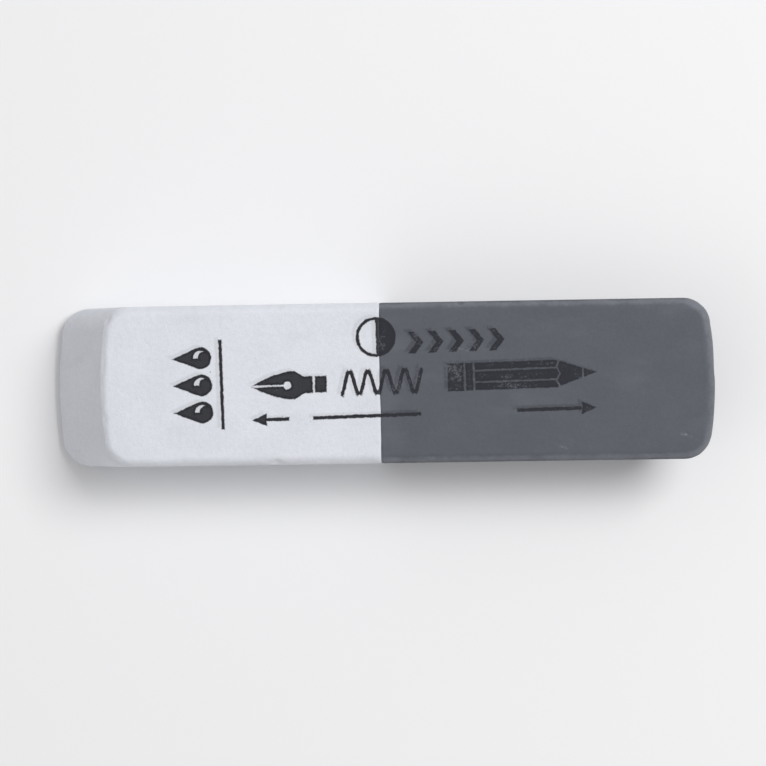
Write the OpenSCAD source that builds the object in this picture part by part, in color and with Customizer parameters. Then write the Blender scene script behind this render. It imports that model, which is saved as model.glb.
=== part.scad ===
// Two-compound block eraser: a bar with both ends cut on the same slant,
// half ink rubber and half pencil rubber, cured together at an upright bond.
// Millimetres. +Z is up, +X runs from the ink end to the pencil end, and the
// origin is the middle of the block's outer box, on the face that it rests on.

/* [Block] */
// Overall length, from the foot of the ink end to the nose of the pencil end
block_l = 58; // [40:1:70]
// Width across the two cut sides
block_w = 14; // [10:0.5:24]
// Thickness, from the resting face to the printed face
block_t = 8.5; // [6:0.5:12]
// Lean of both ends, measured from upright
end_lean = 33; // [0:1:45]

/* [Compounds] */
// Length of the ink rubber, from its foot to the bond
ink_l = 29; // [20:1:34]

/* [Tumbled edges] */
// Corner radius where an end meets a side, seen from above
corner_r = 2.4; // [1.2:0.1:4]
// Radius round the rims of the resting face and the printed face
rim_r = 0.8; // [0.3:0.1:1.1]
// How far the middle of each end stands out past its corners
end_crown = 0.3; // [0:0.05:0.6]

/* [Hidden] */

// The printed face's rims are set this far towards the pencil end
lean_shift = (block_t - 2 * rim_r) * tan(end_lean);
// Where the bond stands
bond_x = ink_l - block_l / 2;
// Half the distance between the corner centres, along and across the block
corner_x = (block_l - lean_shift) / 2 - end_crown - corner_r;
corner_y = block_w / 2 - corner_r;
// Rims that make one crowned end, corner to corner
crown_steps = 6;
// Facets round a rim and round its edge
rim_fn = 40;
// Room round the block for the shape that parts the two compounds
clear = 5;

// Outline of a rim's edge, to be turned round a corner's centre
module rim_profile() {
    intersection() {
        translate([corner_r - rim_r, 0]) circle(r = rim_r, $fn = rim_fn);
        translate([0, -rim_r]) square([corner_r, 2 * rim_r]);
    }
}

// A disc of the corner radius with a round edge
module rim() {
    rotate_extrude($fn = rim_fn) rim_profile();
}

// The rims along one end, set out in a shallow arc
module end_row(side) {
    for (step = [0 : crown_steps]) {
        across = 2 * step / crown_steps - 1;
        bulge = end_crown * (1 - across * across);
        translate([side * (corner_x + bulge), across * corner_y, 0]) rim();
    }
}

// One face's four corners and crowned ends
module face_rims(height, shift) {
    translate([shift, 0, height]) {
        end_row(-1);
        end_row(1);
    }
}

// The whole block as it leaves the tumbler
module block() {
    hull() {
        face_rims(rim_r, -lean_shift / 2);
        face_rims(block_t - rim_r, lean_shift / 2);
    }
}

// Everything on one side of the bond, with room to spare
module bond_side(side) {
    reach = block_l + clear;
    translate([bond_x + (side < 0 ? -reach : 0), -block_w / 2 - clear, -clear])
        cube([reach, block_w + 2 * clear, block_t + 2 * clear]);
}

module ink_end() {
    color("whitesmoke") intersection() {
        block();
        bond_side(-1);
    }
}

module pencil_end() {
    color("dimgray") intersection() {
        block();
        bond_side(1);
    }
}

ink_end();
pencil_end();
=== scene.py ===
"""Dresses the two-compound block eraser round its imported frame.

Blender works in metres here, and in the frame's own axes: +X runs from the white ink end to the grey
pencil end, and +Z points up, out of the printed face. Sizes of the finish are given in millimetres.
"""

import abc
import logging
import math
from dataclasses import dataclass
from enum import Enum
from typing import ClassVar, Sequence, Union

import bpy
from bpy.types import Material, Node, NodeSocket, NodeTree, Object
from mathutils import Matrix, Vector


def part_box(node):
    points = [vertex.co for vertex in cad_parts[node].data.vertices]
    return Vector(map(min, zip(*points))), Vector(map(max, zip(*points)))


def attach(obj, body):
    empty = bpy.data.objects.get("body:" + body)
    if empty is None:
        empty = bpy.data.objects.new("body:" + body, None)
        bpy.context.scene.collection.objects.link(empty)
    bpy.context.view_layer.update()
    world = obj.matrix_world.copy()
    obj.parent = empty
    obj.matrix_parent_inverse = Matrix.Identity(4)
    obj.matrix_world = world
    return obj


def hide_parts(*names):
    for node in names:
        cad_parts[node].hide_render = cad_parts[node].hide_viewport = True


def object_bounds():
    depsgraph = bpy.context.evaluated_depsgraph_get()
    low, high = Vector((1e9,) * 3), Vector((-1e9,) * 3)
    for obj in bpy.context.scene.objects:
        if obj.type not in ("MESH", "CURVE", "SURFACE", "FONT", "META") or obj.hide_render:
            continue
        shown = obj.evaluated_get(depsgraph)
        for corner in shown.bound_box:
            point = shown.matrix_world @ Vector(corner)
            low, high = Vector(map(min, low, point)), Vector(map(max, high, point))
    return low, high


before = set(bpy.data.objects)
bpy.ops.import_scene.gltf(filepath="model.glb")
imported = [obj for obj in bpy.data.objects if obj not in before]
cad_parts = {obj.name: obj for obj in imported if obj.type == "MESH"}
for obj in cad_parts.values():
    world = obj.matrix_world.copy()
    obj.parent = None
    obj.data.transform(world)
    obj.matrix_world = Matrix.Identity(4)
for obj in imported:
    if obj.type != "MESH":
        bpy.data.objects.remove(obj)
cad_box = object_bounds()

LOG = logging.getLogger("eraser")
MM = 0.001
BODY = "root"
RIM_MARK = "rim"
TINY = 1e-6

Colour = tuple[float, float, float]
Place = tuple[float, float, float]
Span = tuple[float, float]
Value = Union["Wire", float, int, bool, Sequence[float]]
Wires = dict[str, "Wire"]


def linear(colour: Colour) -> tuple[float, float, float, float]:
    """Turn a colour as a screen shows it into the light that the shader works in.

    Args:
        colour: Red, green and blue from 0 to 1, as read off a screen.

    Returns:
        The same colour as linear light by the sRGB curve, with an alpha of 1.
    """
    red, green, blue = (c / 12.92 if c <= 0.04045 else ((c + 0.055) / 1.055) ** 2.4 for c in colour)
    return (red, green, blue, 1.0)


class Wire:
    """A node's output that stands in a formula, so that a node tree reads like algebra."""

    def __init__(self, board: "Board", socket: NodeSocket) -> None:
        """Keep the socket and the board that it belongs to."""
        self.board = board
        self.socket = socket

    def __add__(self, other: Value) -> "Wire":
        """Return the sum."""
        return self.board.math("ADD", self, other)

    def __sub__(self, other: Value) -> "Wire":
        """Return the difference."""
        return self.board.math("SUBTRACT", self, other)

    def __rsub__(self, other: Value) -> "Wire":
        """Return a plain value less this one."""
        return self.board.math("SUBTRACT", other, self)

    def __mul__(self, other: Value) -> "Wire":
        """Return the product."""
        return self.board.math("MULTIPLY", self, other)

    def __truediv__(self, other: Value) -> "Wire":
        """Return the quotient."""
        return self.board.math("DIVIDE", self, other)

    def __neg__(self) -> "Wire":
        """Return this with its sign turned."""
        return self.board.math("MULTIPLY", self, -1.0)

    def __abs__(self) -> "Wire":
        """Return the size without its sign."""
        return self.board.math("ABSOLUTE", self)

    __radd__ = __add__
    __rmul__ = __mul__

    def at_least(self, other: Value) -> "Wire":
        """Return the larger of the two."""
        return self.board.math("MAXIMUM", self, other)

    def at_most(self, other: Value) -> "Wire":
        """Return the smaller of the two."""
        return self.board.math("MINIMUM", self, other)

    def over(self, limit: Value) -> "Wire":
        """Return 1 where this is above the limit, and 0 elsewhere."""
        return self.board.math("GREATER_THAN", self, limit)

    def sign(self) -> "Wire":
        """Return -1, 0 or 1."""
        return self.board.math("SIGN", self)

    def root(self) -> "Wire":
        """Return the square root."""
        return self.board.math("SQRT", self)

    def sine(self) -> "Wire":
        """Return the sine of this angle in radians."""
        return self.board.math("SINE", self)

    def cosine(self) -> "Wire":
        """Return the cosine of this angle in radians."""
        return self.board.math("COSINE", self)

    def tangent(self) -> "Wire":
        """Return the tangent of this angle in radians."""
        return self.board.math("TANGENT", self)

    def wrapped(self, pitch: float) -> "Wire":
        """Return the signed distance to the nearest whole multiple of the pitch."""
        return self.board.math("WRAP", self, pitch / 2, -pitch / 2)

    def smooth(self, low: Value, high: Value) -> "Wire":
        """Return a soft step that is 0 at low and 1 at high, where high may lie below low."""
        return self.board.result("ShaderNodeMapRange", (self, low, high), interpolation_type="SMOOTHSTEP")


@dataclass(frozen=True)
class Pattern:
    """A noise on a surface: its period, its finer layers, where it is read and how strong it is."""

    period: float
    layers: float = 2.0
    shift: Place = (0.0, 0.0, 0.0)
    strength: float = 1.0


class Board:
    """A node tree that is being drawn, with short ways to add its nodes and wire them."""

    def __init__(self, tree: NodeTree) -> None:
        """Start on a tree, which is emptied first."""
        self.tree = tree
        self.tree.nodes.clear()

    def node(self, kind: str, **settings: object) -> Node:
        """Add a node and set its options.

        Args:
            kind: The node's type name.
            **settings: Options of the node, by name.

        Returns:
            The new node.
        """
        made = self.tree.nodes.new(kind)
        for name, value in settings.items():
            setattr(made, name, value)
        return made

    def feed(self, socket: NodeSocket, value: Value) -> None:
        """Link a wire to an input, or set a plain value on it.

        Args:
            socket: The input.
            value: What it gets.
        """
        if isinstance(value, Wire):
            self.tree.links.new(value.socket, socket)
        else:
            socket.default_value = value

    def result(self, kind: str, values: Sequence[Value] = (), **settings: object) -> Wire:
        """Add a node for the one value that it gives.

        Args:
            kind: The node's type name.
            values: What its first inputs get, in order.
            **settings: Options of the node, by name.

        Returns:
            Its first output.
        """
        made = self.node(kind, **settings)
        for socket, value in zip(made.inputs, values):
            self.feed(socket, value)
        return Wire(self, made.outputs[0])

    def given(self) -> Wires:
        """Return the tree's own inputs by name."""
        start = self.node("NodeGroupInput")
        return {socket.name: Wire(self, socket) for socket in start.outputs if socket.name}

    def math(self, operation: str, *values: Value) -> Wire:
        """Return what one Math node makes of up to three values."""
        return self.result("ShaderNodeMath", values, operation=operation)

    def vector(self, operation: str, *values: Value) -> Wire:
        """Return the vector that one Vector Math node makes of up to three vectors."""
        return self.result("ShaderNodeVectorMath", values, operation=operation)

    def stretched(self, place: Wire, shares: Place) -> Wire:
        """Scale a place by its own share along each axis."""
        return self.vector("MULTIPLY", place, shares)

    def in_mm(self, place: Wire) -> Wire:
        """Turn a place in metres into millimetres."""
        return self.stretched(place, (1 / MM,) * 3)

    def scaled(self, vector: Wire, size: Value) -> Wire:
        """Scale a vector alike along all axes.

        Args:
            vector: The vector.
            size: How much longer it gets.

        Returns:
            The longer vector.
        """
        made = self.vector("SCALE", vector)
        self.feed(made.socket.node.inputs["Scale"], size)
        return made

    def joined(self, x: Value, y: Value, z: Value) -> Wire:
        """Join three values into a vector."""
        return self.result("ShaderNodeCombineXYZ", (x, y, z))

    def split(self, vector: Wire) -> tuple[Wire, Wire, Wire]:
        """Split a vector into its three values."""
        outputs = self.result("ShaderNodeSeparateXYZ", (vector,)).socket.node.outputs
        return Wire(self, outputs[0]), Wire(self, outputs[1]), Wire(self, outputs[2])

    def noise(self, place: Wire, pattern: Pattern) -> Wire:
        """Add soft noise.

        Args:
            place: Where it is read.
            pattern: Its period in the place's own unit, its layers and its shift.

        Returns:
            The noise, near 0.5 and from 0 to 1.
        """
        made = self.node("ShaderNodeTexNoise")
        self.feed(made.inputs["Vector"], self.vector("ADD", place, pattern.shift))
        self.feed(made.inputs["Scale"], 1 / pattern.period)
        self.feed(made.inputs["Detail"], pattern.layers)
        return Wire(self, made.outputs[0])

    def ripple(self, place: Wire, pattern: Pattern) -> Wire:
        """Return noise that swings about nothing, as strongly as its pattern says."""
        return (self.noise(place, pattern) - 0.5) * pattern.strength

    def cells(self, place: Wire, pitch: float, shift: Place) -> tuple[Wire, Wire]:
        """Scatter points, one in each cell.

        Args:
            place: Where they are read.
            pitch: The usual distance between points, in the place's own unit.
            shift: Moves the points, so that two uses don't match.

        Returns:
            The distance to the nearest point, and a random number that belongs to that point.
        """
        made = self.node("ShaderNodeTexVoronoi")
        self.feed(made.inputs["Vector"], self.vector("ADD", place, shift))
        self.feed(made.inputs["Scale"], 1 / pitch)
        chance = self.split(Wire(self, made.outputs["Color"]))[0]
        return Wire(self, made.outputs["Distance"]) * pitch, chance

    def mixed(self, share: Value, first: Value, second: Value) -> Wire:
        """Blend two colours.

        Args:
            share: How much of the second there is, from 0 to 1.
            first: The first colour.
            second: The second colour.

        Returns:
            The blend.
        """
        made = self.node("ShaderNodeMix", data_type="RGBA")
        inputs = {socket.identifier: socket for socket in made.inputs}
        for name, value in (("Factor_Float", share), ("A_Color", first), ("B_Color", second)):
            self.feed(inputs[name], value)
        return Wire(self, next(socket for socket in made.outputs if socket.identifier == "Result_Color"))


@dataclass(frozen=True)
class Spots:
    """Round spots at scattered points. Each point's chance adds a share of the growth to its radius."""

    pitch: float
    smallest: float
    growth: float
    core: float
    shift: Place

    def draw(self, board: Board, place: Wire, share: Value) -> Wire:
        """Draw the spots.

        Args:
            board: The board of the tree that they are in.
            place: Where they are read.
            share: The share of the points that have one.

        Returns:
            Their mask: 1 within the core of a spot's radius, and 0 past the radius.
        """
        distance, chance = board.cells(place, self.pitch, self.shift)
        radius = chance * self.growth + self.smallest
        return distance.smooth(radius, radius * self.core) * (share - chance).over(0.0)


class Compound(Enum):
    """The two rubbers, by the record's material slots."""

    WHITE = "white_rubber"
    GREY = "grey_rubber"


class End(Enum):
    """The block's two ends, by their direction along X."""

    INK = -1
    PENCIL = 1


class Effect(abc.ABC):
    """A surface effect that both finishes use: a shader node group that is drawn once."""

    title: ClassVar[str]
    inputs: ClassVar[dict[str, float]] = {}
    outputs: ClassVar[tuple[str, ...]] = ()

    def __init__(self) -> None:
        """Draw the group, with a place in millimetres as its first input."""
        self.group = bpy.data.node_groups.new(self.title, "ShaderNodeTree")
        face = self.group.interface
        face.new_socket(name="Place", in_out="INPUT", socket_type="NodeSocketVector")
        for name, value in self.inputs.items():
            socket = face.new_socket(name=name, in_out="INPUT", socket_type="NodeSocketFloat")
            socket.default_value = value
        for name in self.outputs:
            face.new_socket(name=name, in_out="OUTPUT", socket_type="NodeSocketFloat")
        board = Board(self.group)
        end = board.node("NodeGroupOutput")
        for name, wire in self.draw(board, board.given()).items():
            board.feed(end.inputs[name], wire)

    @abc.abstractmethod
    def draw(self, board: Board, given: Wires) -> Wires:
        """Draw the group's inside.

        Args:
            board: The group's own board.
            given: Its inputs by name.

        Returns:
            Its outputs by name.
        """

    def put(self, board: Board, place: Wire, **values: Value) -> Wires:
        """Use the effect in a material or in another effect.

        Args:
            board: The board that it goes on.
            place: The place on the piece, in millimetres.
            **values: The group's inputs, with _ for each space in a name.

        Returns:
            The group's outputs by name.
        """
        made = board.node("ShaderNodeGroup", node_tree=self.group)
        board.feed(made.inputs["Place"], place)
        for name, value in values.items():
            board.feed(made.inputs[name.replace("_", " ").capitalize()], value)
        return {socket.name: Wire(board, socket) for socket in made.outputs}


class RubberGrain(Effect):
    """Fine tooth of a filled rubber: soft lumps, a sandy grain and small flecks of filler."""

    title = "rubber grain"
    inputs = {"Coarseness": 1.0, "Flecks": 0.3}
    outputs = ("Height", "Fleck", "Mottle", "Speckle")
    lumps = Pattern(0.42, 3.0)
    sand = Pattern(0.13, 2.0, (7.0, 3.0, 1.0))
    mottle = Pattern(3.4, 3.0, (0.0, 9.0, 5.0))
    flecks = Spots(0.5, 0.036, 0.12, 0.5, (1.3, 4.1, 2.2))
    fleck_depth = 0.2
    mottle_span = (0.3, 0.7)
    speckle_span = (0.36, 0.64)

    def draw(self, board: Board, given: Wires) -> Wires:
        """Draw lumps and sand as a height, and the flecks, the mottle and the speckle as masks.

        Args:
            board: The group's own board.
            given: Its inputs by name.

        Returns:
            Its outputs by name.
        """
        place = given["Place"]
        lumps, sand = board.noise(place, self.lumps), board.noise(place, self.sand)
        fleck = self.flecks.draw(board, place, given["Flecks"])
        return {
            "Height": lumps * 0.5 + sand * given["Coarseness"] * 0.5 - fleck * self.fleck_depth,
            "Fleck": fleck,
            "Mottle": board.noise(place, self.mottle).smooth(*self.mottle_span),
            "Speckle": (lumps * 0.5 + sand * 0.5).smooth(*self.speckle_span),
        }


class BladeDrag(Effect):
    """Faint lines that the slitting blade left along the sides and across the ends."""

    title = "blade drag"
    inputs = {"Side": 0.0, "End": 0.0}
    outputs = ("Drag",)
    side_lines = Pattern(0.16)
    end_lines = Pattern(0.16, 2.0, (3.0, 0.0, 8.0))
    squash = 0.16 / 9.0

    def draw(self, board: Board, given: Wires) -> Wires:
        """Draw noise that is drawn out along the cut, once for the sides and once for the ends.

        Args:
            board: The group's own board.
            given: Its inputs by name.

        Returns:
            Its outputs by name.
        """
        along = board.noise(board.stretched(given["Place"], (self.squash, 1.0, 1.0)), self.side_lines)
        across = board.noise(board.stretched(given["Place"], (1.0, self.squash, 1.0)), self.end_lines)
        return {"Drag": along * given["Side"] + across * given["End"]}


class RimRubAndHighlight(Effect):
    """Rim wear from tumbling and handling, broken up so that it isn't a plain line; on the grey half it is
    also a painted highlight.
    """

    title = "rim rub"
    inputs = {"Rim": 0.0, "Amount": 1.0}
    outputs = ("Rubbed and highlight",)
    patches = Pattern(1.7, 3.0, (4.0, 2.0, 6.0), 0.9)
    scratches = Pattern(0.3, 2.0, (1.0, 8.0, 3.0), 0.5)
    rub_and_highlight_span = (0.3, 1.3)

    def draw(self, board: Board, given: Wires) -> Wires:
        """Draw the rim's mask, eaten into by patches and scratches.

        Args:
            board: The group's own board.
            given: Its inputs by name.

        Returns:
            Its outputs by name.
        """
        place = given["Place"]
        eaten = given["Rim"] + board.ripple(place, self.patches) + board.ripple(place, self.scratches)
        return {"Rubbed and highlight": eaten.smooth(*self.rub_and_highlight_span) * given["Amount"]}


class RubberDust(Effect):
    """Dust of the other compound and of the desk: thin smears, specks and short scuffs."""

    title = "rubber dust"
    inputs = {"Bond reach": 4.0, "Smear": 0.4, "Specks": 0.3}
    outputs = ("Smear", "Speck", "Scuff")
    clouds = Pattern(2.1, 4.0, (2.0, 5.0, 0.0))
    cloud_stretch = (0.45, 1.0, 1.0)
    cloud_span = (0.5, 0.85)
    more_at_bond = 0.22
    specks = Spots(1.9, 0.027, 0.09, 0.4, (6.0, 1.0, 4.0))
    scuffs = Spots(1.65, 0.16, 0.0, 0.1875, (9.0, 3.0, 2.0))
    scuff_share = 0.16
    scuff_turn = math.radians(17)
    scuff_stretch = (0.16, 1.0, 1.0)
    tears = Pattern(0.25, 3.0, (5.0, 5.0, 1.0))
    tear_span = (0.42, 0.6)

    def draw(self, board: Board, given: Wires) -> Wires:
        """Draw the smear, which is thicker near the bond, the specks, and the scuffs as drawn-out spots.

        Args:
            board: The group's own board.
            given: Its inputs by name.

        Returns:
            Its outputs by name.
        """
        place = given["Place"]
        near_bond = abs(board.split(place)[0]).smooth(given["Bond reach"], 0.0)
        cloud = board.noise(board.stretched(place, self.cloud_stretch), self.clouds)
        smear = (cloud + near_bond * self.more_at_bond).smooth(*self.cloud_span)
        turned = board.node("ShaderNodeVectorRotate", rotation_type="Z_AXIS")
        board.feed(turned.inputs["Vector"], place)
        board.feed(turned.inputs["Angle"], self.scuff_turn)
        drawn_out = board.stretched(Wire(board, turned.outputs[0]), self.scuff_stretch)
        torn = board.noise(place, self.tears).smooth(*self.tear_span)
        return {
            "Smear": smear * given["Smear"],
            "Speck": self.specks.draw(board, place, given["Specks"]),
            "Scuff": self.scuffs.draw(board, drawn_out, self.scuff_share) * torn,
        }


@dataclass(frozen=True)
class Mark(abc.ABC):
    """A printed shape, and its place on the printed face in millimetres from the middle of the bond."""

    x: float
    y: float

    def outside(self, x: Wire, y: Wire) -> Wire:
        """Return how far a place on the face lies outside the shape, negative inside it."""
        return self.distance(x - self.x, y - self.y)

    @abc.abstractmethod
    def distance(self, along: Wire, off: Wire) -> Wire:
        """Measure from the mark's own place.

        Args:
            along: The way from there along X.
            off: The way from there along Y.

        Returns:
            How far the place lies outside the shape, negative inside it.
        """


@dataclass(frozen=True)
class Bar(Mark):
    """A plain bar with its sides along X and Y."""

    length: float
    height: float

    def distance(self, along: Wire, off: Wire) -> Wire:
        """Return the distance outside the bar's nearest side."""
        return (abs(along) - self.length / 2).at_least(abs(off) - self.height / 2)


@dataclass(frozen=True)
class Drop(Mark):
    """A drop with its point towards -X and a bright crescent, whose own sizes are in radii."""

    radius: float
    reach: float
    shine_outer: ClassVar[float] = 0.66
    shine_inner: ClassVar[float] = 0.62
    shine_shift: ClassVar[float] = 0.36

    def distance(self, along: Wire, off: Wire) -> Wire:
        """Join a disc to the wedge that touches it, and take the crescent out.

        Args:
            along: The way from the disc's centre along X.
            off: The way from there along Y.

        Returns:
            The distance outside the drop.
        """
        to_tip, aside = -along, abs(off)
        slope = self.radius / self.reach
        wedge = to_tip * slope + aside * math.sqrt(1 - slope * slope) - self.radius
        wedge = wedge.at_least(self.radius * slope - to_tip)
        spread = (to_tip * to_tip + aside * aside).root()
        away = to_tip + self.radius * self.shine_shift
        hollow = self.radius * self.shine_inner - (away * away + aside * aside).root()
        crescent = (spread - self.radius * self.shine_outer).at_least(hollow).at_least(-off)
        return (spread - self.radius).at_most(wedge).at_least(-crescent)


@dataclass(frozen=True)
class Nib(Mark):
    """A dip pen's nib with its point towards -X. Half widths are in millimetres, all else in shares."""

    length: float
    height: float
    shoulder_share: ClassVar[float] = 0.56
    belly: ClassVar[float] = 0.75
    flank: ClassVar[float] = 0.9
    waist_run: ClassVar[float] = 0.16
    waist_depth: ClassVar[float] = 0.42
    vent_share: ClassVar[float] = 0.86
    vent_radius: ClassVar[float] = 0.13
    slit_half: ClassVar[float] = 0.07
    ring_share: ClassVar[float] = 0.83
    ring_half: ClassVar[float] = 0.09

    def distance(self, along: Wire, off: Wire) -> Wire:
        """Draw the blade, and take the slit, the vent and a ring out.

        Args:
            along: The way from the point along X.
            off: The way from there along Y.

        Returns:
            The distance outside the nib.
        """
        aside, half = abs(off), self.height / 2
        shoulder = self.length * self.shoulder_share
        share = (along / shoulder).at_most(1.0)
        waist = along.smooth(shoulder, shoulder + self.length * self.waist_run) * half * self.waist_depth
        blade = (aside - share * (1 + self.belly - share * self.belly) * half + waist) * self.flank
        blade = blade.at_least(along - self.length).at_least(-along)
        past_vent = along - shoulder * self.vent_share
        vent = (past_vent * past_vent + aside * aside).root() - self.height * self.vent_radius
        slit = (aside - self.slit_half).at_least(past_vent)
        ring = abs(along - self.length * self.ring_share) - self.ring_half
        return blade.at_least(-vent.at_most(slit).at_most(ring))


@dataclass(frozen=True)
class Pencil(Mark):
    """A pencil with its point towards +X. Its runs are in heights, half widths in millimetres."""

    length: float
    height: float
    cone_run: ClassVar[float] = 1.45
    lead_run: ClassVar[float] = 0.5
    rubber_run: ClassVar[float] = 0.62
    ferrule_run: ClassVar[float] = 0.95
    facet_share: ClassVar[float] = 0.42
    facet_half: ClassVar[float] = 0.06
    band_half: ClassVar[float] = 0.075
    line_half: ClassVar[float] = 0.07

    def distance(self, along: Wire, off: Wire) -> Wire:
        """Draw the outline, and take the lines of its facets, ferrule, cone and lead out.

        Args:
            along: The way from the pencil's rubber end along X.
            off: The way from there along Y.

        Returns:
            The distance outside the pencil.
        """
        aside, half = abs(off), self.height / 2
        cone = self.length - self.height * self.cone_run
        rubber, ferrule = self.height * self.rubber_run, self.height * self.ferrule_run
        lean = math.atan2(half, self.height * self.cone_run)
        outline = (aside - half).at_least(-along)
        outline = outline.at_least(aside * math.cos(lean) + (along - self.length) * math.sin(lean))
        facet = abs(aside - half * self.facet_share) - self.facet_half
        facet = facet.at_least(along - cone).at_least(ferrule - along)
        bands = abs(along - rubber).at_most(abs(along - ferrule)) - self.band_half
        scallop = abs(along - cone - abs(aside - half / 2) / 2) - self.line_half
        lead = abs(along - self.length + self.height * self.lead_run) - self.line_half
        return outline.at_least(-facet.at_most(bands).at_most(scallop).at_most(lead))


@dataclass(frozen=True)
class Scribble(Mark):
    """A pen stroke that swings from side to side along X."""

    length: float
    swing: float
    period: float
    width: float

    def distance(self, along: Wire, off: Wire) -> Wire:
        """Draw a sine stroke of even width.

        Args:
            along: The way from the stroke's middle along X.
            off: The way from there along Y.

        Returns:
            The distance outside the stroke.
        """
        turn = along * (math.tau / self.period)
        steep = turn.cosine() * (self.swing * math.tau / self.period)
        aside = abs(off - turn.sine() * self.swing) / (steep * steep + 1.0).root()
        return (aside - self.width / 2).at_least(abs(along) - self.length / 2)


@dataclass(frozen=True)
class Chevrons(Mark):
    """A row of like chevrons that point towards +X."""

    count: int
    pitch: float
    height: float
    width: float
    bend: ClassVar[float] = 0.75

    def distance(self, along: Wire, off: Wire) -> Wire:
        """Bend a row of strokes at the middle line.

        Args:
            along: The way from the first chevron along X.
            off: The way from there along Y.

        Returns:
            The distance outside the nearest chevron.
        """
        aside = abs(off)
        bent = along + aside * self.bend
        stroke = abs(bent.wrapped(self.pitch)) / math.hypot(1.0, self.bend) - self.width / 2
        ends = abs(bent - self.pitch * (self.count - 1) / 2) - self.pitch * self.count / 2
        return stroke.at_least(aside - self.height / 2).at_least(ends)


@dataclass(frozen=True)
class HalfMoon(Mark):
    """A ring round a disc that is filled on its +X side, for a block of two halves."""

    radius: float
    width: float

    def distance(self, along: Wire, off: Wire) -> Wire:
        """Return the distance outside the ring and the filled half."""
        out = (along * along + off * off).root() - self.radius
        return (abs(out) - self.width / 2).at_most(out.at_least(-along))


@dataclass(frozen=True)
class Arrowhead(Mark):
    """A small filled arrowhead that points to one of the block's ends."""

    length: float
    height: float
    towards: End

    def distance(self, along: Wire, off: Wire) -> Wire:
        """Draw the triangle.

        Args:
            along: The way from the arrow's tip along X.
            off: The way from there along Y.

        Returns:
            The distance outside the triangle.
        """
        to_tip = along * -self.towards.value
        lean = math.atan2(self.height / 2, self.length)
        flank = abs(off) * math.cos(lean) - to_tip * math.sin(lean)
        return flank.at_least(to_tip - self.length)


class PrintedMarks(Effect):
    """The stamp's own layout: plain pictures and rules, set a little askew on the block."""

    title = "printed marks"
    outputs = ("Outside",)
    slope = math.radians(1.3)
    marks: tuple[Mark, ...] = (
        *(Drop(-15.5, y, radius=0.95, reach=2.5) for y in (2.75, 0.4, -1.95)),
        Bar(-13.75, 0.4, length=0.3, height=7.8),
        Nib(-11.2, 0.1, length=6.6, height=2.5),
        Scribble(0.2, 0.1, length=7.2, swing=0.9, period=1.6, width=0.36),
        Pencil(5.9, 0.25, length=12.9, height=2.4),
        HalfMoon(-0.2, 4.0, radius=1.6, width=0.28),
        Chevrons(3.6, 3.4, count=5, pitch=1.75, height=1.9, width=0.52),
        Arrowhead(-11.2, -2.8, length=1.3, height=1.1, towards=End.INK),
        Bar(-9.05, -2.8, length=2.2, height=0.32),
        Bar(-1.2, -2.8, length=9.4, height=0.32),
        Bar(14.6, -2.8, length=5.6, height=0.32),
        Arrowhead(18.7, -2.8, length=1.3, height=1.1, towards=End.PENCIL),
    )

    def draw(self, board: Board, given: Wires) -> Wires:
        """Draw the distance outside the nearest mark, in millimetres.

        Args:
            board: The group's own board.
            given: Its inputs by name.

        Returns:
            Its outputs by name.
        """
        x, y, _ = board.split(given["Place"])
        turned_x = x * math.cos(self.slope) + y * math.sin(self.slope)
        turned_y = y * math.cos(self.slope) - x * math.sin(self.slope)
        nearest = self.marks[0].outside(turned_x, turned_y)
        for mark in self.marks[1:]:
            nearest = nearest.at_most(mark.outside(turned_x, turned_y))
        return {"Outside": nearest}


class StampedPrint(Effect):
    """The marks in dark ink, as a soft pad leaves them: patchy, squeezed out and struck twice."""

    title = "stamped print"
    inputs = {"Pressure": 0.9, "Second strike": 0.3, "Upward": 1.0}
    outputs = ("Ink",)
    waver = Pattern(0.5, 2.0, (3.0, 3.0, 0.0), 0.16)
    ragged = Pattern(0.13, 2.0, (6.0, 2.0, 1.0), 0.12)
    bleed_span = (0.06, -0.06)
    squeezed_span = (-0.3, -0.06)
    squeezed_hold = 0.12
    squeezed_cover = 0.03
    broad = Pattern(2.6, 2.0, (8.0, 1.0, 2.0), 1.4)
    fine = Pattern(0.17, 2.0, (2.0, 7.0, 3.0), 1.3)
    held_span = (0.12, 0.62)
    slip = (0.34, -0.2, 0.0)
    second_bleed_span = (0.1, -0.1)
    second_held_span = (0.3, 0.8)
    spatter = Spots(0.62, 0.02, 0.55, 0.4, (3.0, 6.0, 0.0))
    spatter_share = 0.11
    spatter_span = (1.1, 0.2)
    spatter_cover = 0.8
    upward_span = (0.3, 0.7)

    def __init__(self, marks: PrintedMarks) -> None:
        """Keep the layout, and draw the group round it."""
        self.marks = marks
        super().__init__()

    def draw(self, board: Board, given: Wires) -> Wires:
        """Draw how much ink covers the face that looks up.

        Args:
            board: The group's own board.
            given: Its inputs by name.

        Returns:
            Its outputs by name.
        """
        place = given["Place"]
        uneven = board.ripple(place, self.waver) + board.ripple(place, self.ragged)
        outside = self.marks.put(board, place)["Outside"] + uneven
        squeezed = outside.smooth(*self.squeezed_span)
        held = given["Pressure"] + board.ripple(place, self.broad) + board.ripple(place, self.fine)
        held = held + squeezed * self.squeezed_hold
        first = outside.smooth(*self.bleed_span) * held.smooth(*self.held_span)
        first = first * (squeezed * self.squeezed_cover + (1 - self.squeezed_cover))

        again = self.marks.put(board, board.vector("ADD", place, self.slip))["Outside"] + uneven
        second = again.smooth(*self.second_bleed_span) * held.smooth(*self.second_held_span)
        second = second * given["Second strike"]

        spots = self.spatter.draw(board, place, self.spatter_share)
        spots = spots * outside.smooth(*self.spatter_span) * self.spatter_cover
        return {"Ink": first.at_least(second).at_least(spots) * given["Upward"].smooth(*self.upward_span)}


class Effects:
    """The shared node groups, each drawn once."""

    def __init__(self) -> None:
        """Draw them all."""
        self.grain = RubberGrain()
        self.drag = BladeDrag()
        self.rub_and_highlight = RimRubAndHighlight()
        self.dust = RubberDust()
        self.stamp = StampedPrint(PrintedMarks())


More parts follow.
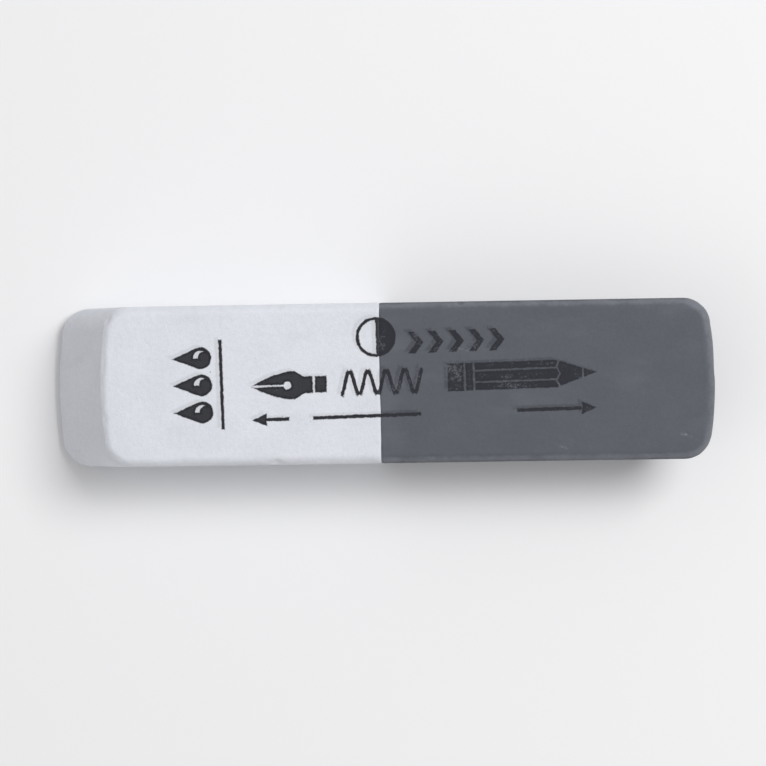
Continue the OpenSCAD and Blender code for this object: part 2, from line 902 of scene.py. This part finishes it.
@dataclass(frozen=True)
class RubberFinish:
    """How one compound looks. Colours are as a screen shows them, lengths in millimetres."""

    compound: Compound
    base: Colour
    shade: Colour
    fleck: Colour
    dust: Colour
    # The rims' colour: wear on both halves; where it is lighter than the base, as on the grey half, it is
    # also a painted highlight
    rubbed_and_highlight: Colour
    ink: Colour
    ink_pressure: float
    second_strike: float
    coarseness: float
    flecks: float
    smear: float
    specks: float
    scuff: float
    rub_and_highlight: float
    roughness: float
    translucency: float
    grain_depth: float
    side_span: ClassVar[Span] = (0.8, 0.98)
    end_span: ClassVar[Span] = (0.6, 0.8)
    mottle_share: ClassVar[float] = 0.4
    fleck_cover: ClassVar[float] = 0.5
    mottle_rough: ClassVar[float] = 0.08
    smear_rough: ClassVar[float] = 0.2
    rub_polish: ClassVar[float] = 0.1
    ink_polish: ClassVar[float] = 0.16
    drag_depth: ClassVar[float] = 0.9
    specular: ClassVar[float] = 0.26
    scatter_tint: ClassVar[Colour] = (1.0, 0.92, 0.85)
    scatter_mm: ClassVar[float] = 0.5

    def gather(self, board: Board, effects: Effects) -> Wires:
        """Put the shared effects on the material, each with this finish's own values.

        Args:
            board: The material's board.
            effects: The node groups that both finishes use.

        Returns:
            All outputs of the effects, by name.
        """
        where = board.node("ShaderNodeTexCoord")
        place = board.in_mm(Wire(board, where.outputs["Object"]))
        facing = board.split(Wire(board, where.outputs["Normal"]))
        rim = Wire(board, board.node("ShaderNodeAttribute", attribute_name=RIM_MARK).outputs["Fac"])
        side, end = abs(facing[1]).smooth(*self.side_span), abs(facing[0]).smooth(*self.end_span)
        stamp = effects.stamp.put(
            board, place, pressure=self.ink_pressure, second_strike=self.second_strike, upward=facing[2]
        )
        return {
            **effects.grain.put(board, place, coarseness=self.coarseness, flecks=self.flecks),
            **effects.drag.put(board, place, side=side, end=end),
            **effects.rub_and_highlight.put(board, place, rim=rim, amount=self.rub_and_highlight),
            **effects.dust.put(board, place, smear=self.smear, specks=self.specks),
            **stamp,
        }

    def paint(self, board: Board, masks: Wires) -> Wire:
        """Lay the colours over each other, from the rubber's own up to the last scuffs.

        Args:
            board: The material's board.
            masks: What gather returns.

        Returns:
            The colour.
        """
        tone = masks["Mottle"] * self.mottle_share + masks["Speckle"] * (1 - self.mottle_share)
        colour = board.mixed(tone, linear(self.base), linear(self.shade))
        layers = (
            (masks["Fleck"] * self.fleck_cover, self.fleck),
            (masks["Smear"], self.dust),
            # Rims: worn colour, and on the grey half a painted highlight
            (masks["Rubbed and highlight"], self.rubbed_and_highlight),
            (masks["Ink"], self.ink),
            (masks["Speck"], self.dust),
            (masks["Scuff"] * self.scuff, self.dust),
        )
        for cover, paint in layers:
            colour = board.mixed(cover, colour, linear(paint))
        return colour

    def build(self, effects: Effects) -> Material:
        """Make the material from the shared effects.

        Args:
            effects: The node groups that both finishes use.

        Returns:
            The finished material.
        """
        made = bpy.data.materials.new(self.compound.value)
        made.use_nodes = True
        board = Board(made.node_tree)
        shader = board.node("ShaderNodeBsdfPrincipled")
        board.tree.links.new(shader.outputs[0], board.node("ShaderNodeOutputMaterial").inputs[0])
        masks = self.gather(board, effects)
        rough = (masks["Mottle"] - 0.5) * self.mottle_rough + self.roughness
        rough = rough - masks["Rubbed and highlight"] * self.rub_polish - masks["Ink"] * self.ink_polish
        bump = board.node("ShaderNodeBump")
        board.feed(bump.inputs["Strength"], 1.0)
        board.feed(bump.inputs["Distance"], self.grain_depth * MM)
        board.feed(bump.inputs["Height"], masks["Height"] + masks["Drag"] * self.drag_depth)
        surface = {
            "Base Color": self.paint(board, masks),
            "Roughness": rough + masks["Smear"] * self.smear_rough,
            "Normal": Wire(board, bump.outputs[0]),
            "Specular IOR Level": self.specular,
            "Subsurface Weight": self.translucency,
            "Subsurface Radius": self.scatter_tint,
            "Subsurface Scale": self.scatter_mm * MM,
        }
        for name, value in surface.items():
            board.feed(shader.inputs[name], value)
        return made


WHITE_RUBBER = RubberFinish(
    compound=Compound.WHITE,
    base=(0.884, 0.894, 0.922),
    shade=(0.850, 0.860, 0.888),
    fleck=(0.70, 0.71, 0.73),
    dust=(0.66, 0.67, 0.70),
    rubbed_and_highlight=(0.83, 0.84, 0.865),
    ink=(0.04, 0.045, 0.085),
    ink_pressure=1.05,
    second_strike=0.12,
    coarseness=1.0,
    flecks=0.22,
    smear=0.12,
    specks=0.10,
    scuff=0.25,
    rub_and_highlight=0.6,
    roughness=0.64,
    translucency=0.12,
    grain_depth=0.06,
)

GREY_RUBBER = RubberFinish(
    compound=Compound.GREY,
    base=(0.342, 0.354, 0.384),
    shade=(0.324, 0.336, 0.365),
    fleck=(0.44, 0.45, 0.48),
    dust=(0.56, 0.57, 0.595),
    # Lighter than the base: rim wear together with a painted rim highlight
    rubbed_and_highlight=(0.45, 0.46, 0.49),
    ink=(0.11, 0.115, 0.15),
    ink_pressure=0.6,
    second_strike=0.4,
    coarseness=0.7,
    flecks=0.2,
    smear=0.10,
    specks=0.22,
    scuff=0.5,
    rub_and_highlight=0.9,
    roughness=0.6,
    translucency=0.0,
    grain_depth=0.04,
)


@dataclass(frozen=True)
class Half:
    """One half of the block: its piece and CAD node, its finish, its end and how far it has shrunk."""

    piece: str
    node: str
    finish: RubberFinish
    end: End
    shrink_mm: float


@dataclass(frozen=True)
class Surface:
    """What the block's shape gives at each point of its grid, at full size and before its wear.

    Attributes:
        place: Where the point lies.
        outward: Which way the surface faces there.
        row: Its row, from 0 at the bond to 1 at the end.
        along: Its distance from the bond, before the end is crowned and leans.
        far: Its distance past the centres of the corners, 0 inside them.
        flat: 1 on the printed and the resting face, 0 on the walls.
        upward: 1 towards the printed face and -1 towards the resting face.
        weight: The rim's radius on the outside, and less on the bond's hidden face.
        rim: How much it belongs to a rim or a corner.
    """

    place: Wire
    outward: Wire
    row: Wire
    along: Wire
    far: Wire
    flat: Wire
    upward: Wire
    weight: Wire
    rim: Wire


@dataclass(frozen=True)
class RubberWear:
    """How far tumbling and handling set the surface back from its full size, in millimetres."""

    swell: Pattern = Pattern(8.0, 1.0, strength=0.035)
    lumps: Pattern = Pattern(1.4, 2.0, (3.0, 1.0, 7.0), 0.016)
    tooth: Pattern = Pattern(0.5, strength=0.007)
    tumble: Pattern = Pattern(2.3, 2.0, (1.0, 6.0, 2.0), 0.07)
    tumble_span: Span = (0.35, 0.75)
    least_tumble: float = 0.012
    nick_pitch: float = 3.6
    nick_shift: Place = (2.0, 2.0, 9.0)
    nick_growth: float = 0.55
    smallest_nick: float = 0.3
    nickless_share: float = 0.45
    nick_span: Span = (0.1, 0.6)
    nick_depth: float = 0.3
    pits: Spots = Spots(1.5, 0.1, 0.16, 0.0, (5.0, 8.0, 1.0))
    pit_share: float = 0.16
    pit_depth: float = 0.05
    groove_half: float = 0.17
    groove_depth: float = 0.04

    def draw(self, board: Board, place: Wire, seeded: Wire, surface: Surface) -> Wire:
        """Add up all that is worn away.

        Args:
            board: The tree's board.
            place: The place on the block in millimetres, which both halves share at the bond.
            seeded: The same place, moved by the half's own seed.
            surface: The block's full surface.

        Returns:
            The depth in millimetres.
        """
        swell = board.noise(place, self.swell) * self.swell.strength
        lumps = board.noise(place, self.lumps) * self.lumps.strength
        tooth = board.noise(seeded, self.tooth) * self.tooth.strength
        uneven = board.noise(seeded, self.tumble).smooth(*self.tumble_span)
        tumbled = surface.rim * (uneven * self.tumble.strength + self.least_tumble)
        reach, chance = board.cells(seeded, self.nick_pitch, self.nick_shift)
        size = chance * self.nick_growth + self.smallest_nick
        nick = (1 - reach / size).at_least(0.0) * (chance - self.nickless_share).over(0.0)
        nick = nick * nick * surface.rim.smooth(*self.nick_span) * self.nick_depth
        pit = self.pits.draw(board, seeded, self.pit_share) * self.pit_depth
        groove = surface.along.smooth(self.groove_half * MM, 0.0) * self.groove_depth
        return swell + lumps + tooth + tumbled + nick + pit + groove


@dataclass
class EraserBlock:
    """The block: two halves that one Geometry Nodes tree shapes, tumbles and wears."""

    corner_radius: float = 2.4 * MM
    rim_radius: float = 0.8 * MM
    end_crown: float = 0.3 * MM
    end_lean: float = math.radians(33)
    mesh_step: float = 0.145 * MM
    wear: RubberWear = RubberWear()
    halves: tuple[Half, ...] = (
        Half("ink_rubber", "ink_end", WHITE_RUBBER, End.INK, 0.0),
        Half("pencil_rubber", "pencil_end", GREY_RUBBER, End.PENCIL, 0.012),
    )
    sizes: ClassVar[tuple[str, ...]] = (
        "Side", "Bond at", "Length", "Width", "Thickness", "Corner radius", "Rim radius",
        "Crown", "Lean", "Step", "Wear", "Shrink", "Seed",
    )
    seed_step: ClassVar[float] = 11.0
    crowding: ClassVar[float] = 0.02
    crown_run: ClassVar[float] = 3.0
    lean_span: ClassVar[Span] = (0.1, 0.75)
    corner_wear: ClassVar[float] = 0.5
    face_drop: ClassVar[float] = 0.03 * MM
    wander: ClassVar[Pattern] = Pattern(5.0, 2.0, (4.0, 4.0, 4.0), 0.35)
    wander_reach: ClassVar[float] = 2.5 * MM

    def build_tree(self) -> NodeTree:
        """Draw the tree that makes either half.

        Returns:
            The Geometry Nodes tree, with named inputs for every size.
        """
        tree = bpy.data.node_groups.new("tumbled rubber half", "GeometryNodeTree")
        face = tree.interface
        for name in self.sizes:
            face.new_socket(name=name, in_out="INPUT", socket_type="NodeSocketFloat")
        face.new_socket(name="Finish", in_out="INPUT", socket_type="NodeSocketMaterial")
        face.new_socket(name="Mesh", in_out="OUTPUT", socket_type="NodeSocketGeometry")
        board = Board(tree)
        given = board.given()
        grid = board.node("GeometryNodeMeshCube")
        grid.inputs["Size"].default_value = (2.0, 2.0, 2.0)
        for axis, size in zip("XYZ", ("Length", "Width", "Thickness")):
            board.feed(grid.inputs["Vertices " + axis], given[size] / given["Step"])

        surface = self.draw_shape(board, given, board.split(board.result("GeometryNodeInputPosition")))
        steps = (
            ("GeometryNodeSetShadeSmooth", {}, {"Shade Smooth": surface.row.over(TINY)}),
            (
                "GeometryNodeStoreNamedAttribute",
                {"data_type": "FLOAT", "domain": "POINT"},
                {"Name": RIM_MARK, "Value": surface.rim},
            ),
            ("GeometryNodeSetPosition", {}, {"Position": self.draw_relief(board, given, surface)}),
            ("GeometryNodeRealizeInstances", {}, {}),
            ("GeometryNodeSetMaterial", {}, {"Material": given["Finish"]}),
        )
        mesh = Wire(board, grid.outputs["Mesh"])
        for kind, settings, values in steps:
            mesh = board.result(kind, (mesh,), **settings)
            for name, value in values.items():
                board.feed(mesh.socket.node.inputs[name], value)
        board.feed(board.node("NodeGroupOutput").inputs["Mesh"], mesh)
        return tree

    def draw_shape(self, board: Board, given: Wires, grid: tuple[Wire, Wire, Wire]) -> Surface:
        """Bend a cube's grid into a half block with round corners, round rims and a slanted end.

        Args:
            board: The tree's board.
            given: The tree's inputs by name.
            grid: The place of a grid point in a cube from -1 to 1.

        Returns:
            The surface at full size, and the fields that the wear reads.
        """
        side, corner, rim = given["Side"], given["Corner radius"], given["Rim radius"]
        half_width, half_height = given["Width"] / 2, given["Thickness"] / 2
        lean = given["Lean"].tangent()
        slant = (given["Thickness"] - rim * 2) * lean
        reach = given["Length"] - slant / 2 - given["Crown"]
        sideways, upward = grid[1].sign(), grid[2].sign()

        # Rows lie closer together near the bond, where its fine groove needs them
        row = (grid[0] * side + 1) / 2
        row = row * row * (1 + self.crowding) / (row + self.crowding)
        along, across, up = row * reach, abs(grid[1]) * half_width, abs(grid[2]) * half_height

        # Squares round the corner's centre become circles
        past_x = (along - reach + corner).at_least(0.0)
        past_y = (across - half_width + corner).at_least(0.0)
        far = past_x.at_least(past_y)
        spread = (past_x * past_x + past_y * past_y).root() + TINY * MM
        out_x, out_y = past_x / spread, past_y / spread
        along = along.at_most(reach - corner) + far * out_x
        across = across.at_most(half_width - corner) + far * out_y

        # The rim turns from the wall's direction to the face's
        inward = (far - corner + rim).at_least(0.0)
        rise = (up - half_height + rim).at_least(0.0)
        bend = (inward * inward + rise * rise).root() + TINY * MM
        weight = inward.at_least(rise)
        along, across = along - out_x * inward, across - out_y * inward
        up = up.at_most(half_height - rim) * upward

        # Each end is crowned, and leans with height
        share = across / (half_width - corner)
        crown = (1 - share * share).at_least(0.0) * given["Crown"]
        crown = crown * along.smooth(reach - corner * self.crown_run, reach - corner)
        shift = up * lean * (along / reach).smooth(*self.lean_span)
        out = out_x * side * inward / bend
        tilt = upward * rise / bend - out * lean
        outward = board.vector("NORMALIZE", board.joined(out, sideways * out_y * inward / bend, tilt))
        x = given["Bond at"] + side * (along + crown) + shift
        core = board.joined(x, sideways * across, half_height + up)
        return Surface(
            place=board.vector("ADD", core, board.scaled(outward, weight)),
            outward=outward,
            row=row,
            along=along,
            far=far,
            flat=rise / bend,
            upward=upward,
            weight=weight,
            rim=inward * rise * 2 / (bend * bend) + out_x * out_y * self.corner_wear,
        )

    def draw_relief(self, board: Board, given: Wires, surface: Surface) -> Wire:
        """Wear the surface inward from its full size, and let the bond wander a little.

        Args:
            board: The tree's board.
            given: The tree's inputs by name.
            surface: The block's full surface.

        Returns:
            The finished place of each vertex.
        """
        place = board.in_mm(surface.place)
        seeded = board.vector("ADD", place, board.joined(given["Seed"], given["Seed"] * 2.0, 0.0))
        depth = self.wear.draw(board, place, seeded, surface) + given["Shrink"]
        depth = depth * given["Wear"] * MM * surface.weight / given["Rim radius"]
        worn = board.vector("SUBTRACT", surface.place, board.scaled(surface.outward, depth))

        # The faces drop a little towards their rims
        drop = surface.far.smooth(0.0, given["Corner radius"] - given["Rim radius"])
        drop = drop * surface.flat * self.face_drop

        # The bond wanders alike in both halves, so they stay closed
        wander = board.ripple(board.stretched(place, (0.0, 1.0, 1.0)), self.wander) * MM
        wander = wander * surface.along.smooth(self.wander_reach, 0.0)
        return board.vector("ADD", worn, board.joined(wander, 0.0, -(drop * surface.upward)))

    def build_half(self, tree: NodeTree, half: Half, finish: Material) -> Object:
        """Run the tree for one half and keep its result as a plain mesh.

        Args:
            tree: What build_tree returns.
            half: Which half to make.
            finish: Its material.

        Returns:
            The piece, at the origin with its place in its mesh.
        """
        low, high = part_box(half.node)
        side = half.end.value
        values = {
            "Side": float(side), "Bond at": high.x if half.end is End.INK else low.x,
            "Length": high.x - low.x, "Width": high.y - low.y, "Thickness": high.z - low.z,
            "Corner radius": self.corner_radius, "Rim radius": self.rim_radius,
            "Crown": self.end_crown, "Lean": self.end_lean, "Step": self.mesh_step,
            "Wear": 1.0, "Shrink": half.shrink_mm, "Seed": self.seed_step * side, "Finish": finish,
        }
        blank = bpy.data.objects.new(half.piece + "_blank", bpy.data.meshes.new(half.piece + "_blank"))
        bpy.context.scene.collection.objects.link(blank)
        modifier = blank.modifiers.new("shape", "NODES")
        modifier.node_group = tree
        for item in tree.interface.items_tree:
            if item.in_out == "INPUT":
                modifier[item.identifier] = values[item.name]
        graph = bpy.context.evaluated_depsgraph_get()
        mesh = bpy.data.meshes.new_from_object(blank.evaluated_get(graph), depsgraph=graph)
        mesh.name = half.piece
        # The grid starts with an empty slot, ahead of the one that the tree sets
        mesh.materials.pop(index=list(mesh.materials).index(None))
        blank.modifiers.remove(modifier)
        bpy.data.objects.remove(blank)
        piece = bpy.data.objects.new(half.piece, mesh)
        bpy.context.scene.collection.objects.link(piece)
        return piece

    def build(self, effects: Effects) -> list[Object]:
        """Make both halves, dress them and give them their places in the frame.

        Args:
            effects: The node groups that the finishes use.

        Returns:
            The two pieces.
        """
        tree = self.build_tree()
        pieces = []
        for half in self.halves:
            piece = self.build_half(tree, half, half.finish.build(effects))
            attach(piece, BODY)
            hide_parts(half.node)
            pieces.append(piece)
        return pieces


@dataclass(frozen=True)
class Lamp:
    """A square soft lamp that faces the block, in metres."""

    name: str
    place: Place
    size: float
    share: float

    def hang(self) -> Object:
        """Hang the lamp, bright enough to give a level white surface its share of full light.

        Returns:
            The lamp.
        """
        towards = Vector(self.place)
        light = bpy.data.lights.new(self.name, "AREA")
        light.shape = "SQUARE"
        light.size = self.size
        light.energy = self.share * math.pi ** 2 * towards.length_squared / towards.normalized().z
        hung = bpy.data.objects.new(self.name, light)
        hung.location = towards
        hung.rotation_euler = towards.to_track_quat("Z", "Y").to_euler()
        hung.visible_camera = False
        bpy.context.scene.collection.objects.link(hung)
        return hung


@dataclass
class Studio:
    """A plain pale floor, soft light and the camera, in metres."""

    floor_size: float = 6.0
    floor_colour: Colour = (0.95, 0.95, 0.955)
    floor_roughness: float = 0.9
    floor_specular: float = 0.2
    sky: float = 0.42
    backdrop: float = 0.92
    lamps: tuple[Lamp, ...] = (
        Lamp("key", (0.34, 0.20, 0.50), size=0.30, share=0.55),
        Lamp("fill", (-0.45, -0.30, 0.50), size=0.5, share=0.05),
    )
    eye_offset: Place = (0.027, 0.0, 0.395)
    view_width: float = 0.067
    roll: float = math.radians(0.9)
    sensor_mm: float = 36.0
    clip: Span = (0.01, 20.0)

    def build_floor(self) -> Object:
        """Lay the floor that the block rests on.

        Returns:
            The floor.
        """
        half = self.floor_size / 2
        corners = [(x * half, y * half, 0.0) for x, y in ((-1, -1), (1, -1), (1, 1), (-1, 1))]
        mesh = bpy.data.meshes.new("floor")
        mesh.from_pydata(corners, [], [(0, 1, 2, 3)])
        floor = bpy.data.objects.new("floor", mesh)
        bpy.context.scene.collection.objects.link(floor)
        paint = bpy.data.materials.new("floor paint")
        paint.use_nodes = True
        shader = paint.node_tree.nodes["Principled BSDF"]
        shader.inputs["Base Color"].default_value = linear(self.floor_colour)
        shader.inputs["Roughness"].default_value = self.floor_roughness
        shader.inputs["Specular IOR Level"].default_value = self.floor_specular
        mesh.materials.append(paint)
        return floor

    def build_sky(self) -> None:
        """Light the block evenly from all round, with a paler backdrop for the camera and for gloss."""
        world = bpy.data.worlds.new("studio")
        world.use_nodes = True
        board = Board(world.node_tree)
        rays = board.node("ShaderNodeLightPath").outputs
        seen = Wire(board, rays["Is Camera Ray"]).at_least(Wire(board, rays["Is Glossy Ray"]))
        seen = seen.at_least(Wire(board, rays["Is Transmission Ray"]))
        light = board.node("ShaderNodeBackground")
        light.inputs["Color"].default_value = (1.0, 1.0, 1.0, 1.0)
        board.feed(light.inputs["Strength"], seen * (self.backdrop - self.sky) + self.sky)
        board.tree.links.new(light.outputs[0], board.node("ShaderNodeOutputWorld").inputs[0])
        bpy.context.scene.world = world

    def build_camera(self, low: Vector, high: Vector) -> Object:
        """Set the camera above the block, a little towards its grey end, as the photograph was taken.

        Args:
            low: The block's lowest corner.
            high: The block's highest corner.

        Returns:
            The camera.
        """
        offset = Vector(self.eye_offset)
        back = offset.normalized()
        right = Vector((0, 1, 0)).cross(back).normalized()
        turned = Matrix((right, back.cross(right), back)).transposed() @ Matrix.Rotation(-self.roll, 3, "Z")
        data = bpy.data.cameras.new("camera")
        data.sensor_width = self.sensor_mm
        data.lens = self.sensor_mm * offset.length / self.view_width
        data.clip_start, data.clip_end = self.clip
        camera = bpy.data.objects.new("camera", data)
        camera.location = (low + high) / 2 + offset
        camera.rotation_euler = turned.to_euler()
        bpy.context.scene.collection.objects.link(camera)
        bpy.context.scene.camera = camera
        return camera

    def build(self, low: Vector, high: Vector) -> None:
        """Set up the whole studio.

        Args:
            low: The block's lowest corner.
            high: The block's highest corner.
        """
        self.build_floor()
        self.build_sky()
        for lamp in self.lamps:
            lamp.hang()
        self.build_camera(low, high)
        bpy.context.scene.view_settings.view_transform = "Standard"


def main() -> None:
    """Build the block and its studio, and report each piece."""
    logging.basicConfig(level=logging.INFO, format="%(name)s: %(message)s")
    effects = Effects()
    for piece in EraserBlock().build(effects):
        LOG.info("%s: %d faces, %s", piece.name, len(piece.data.polygons), piece.data.materials[0].name)
    Studio().build(*cad_box)


if __name__ == "__main__":
    main()
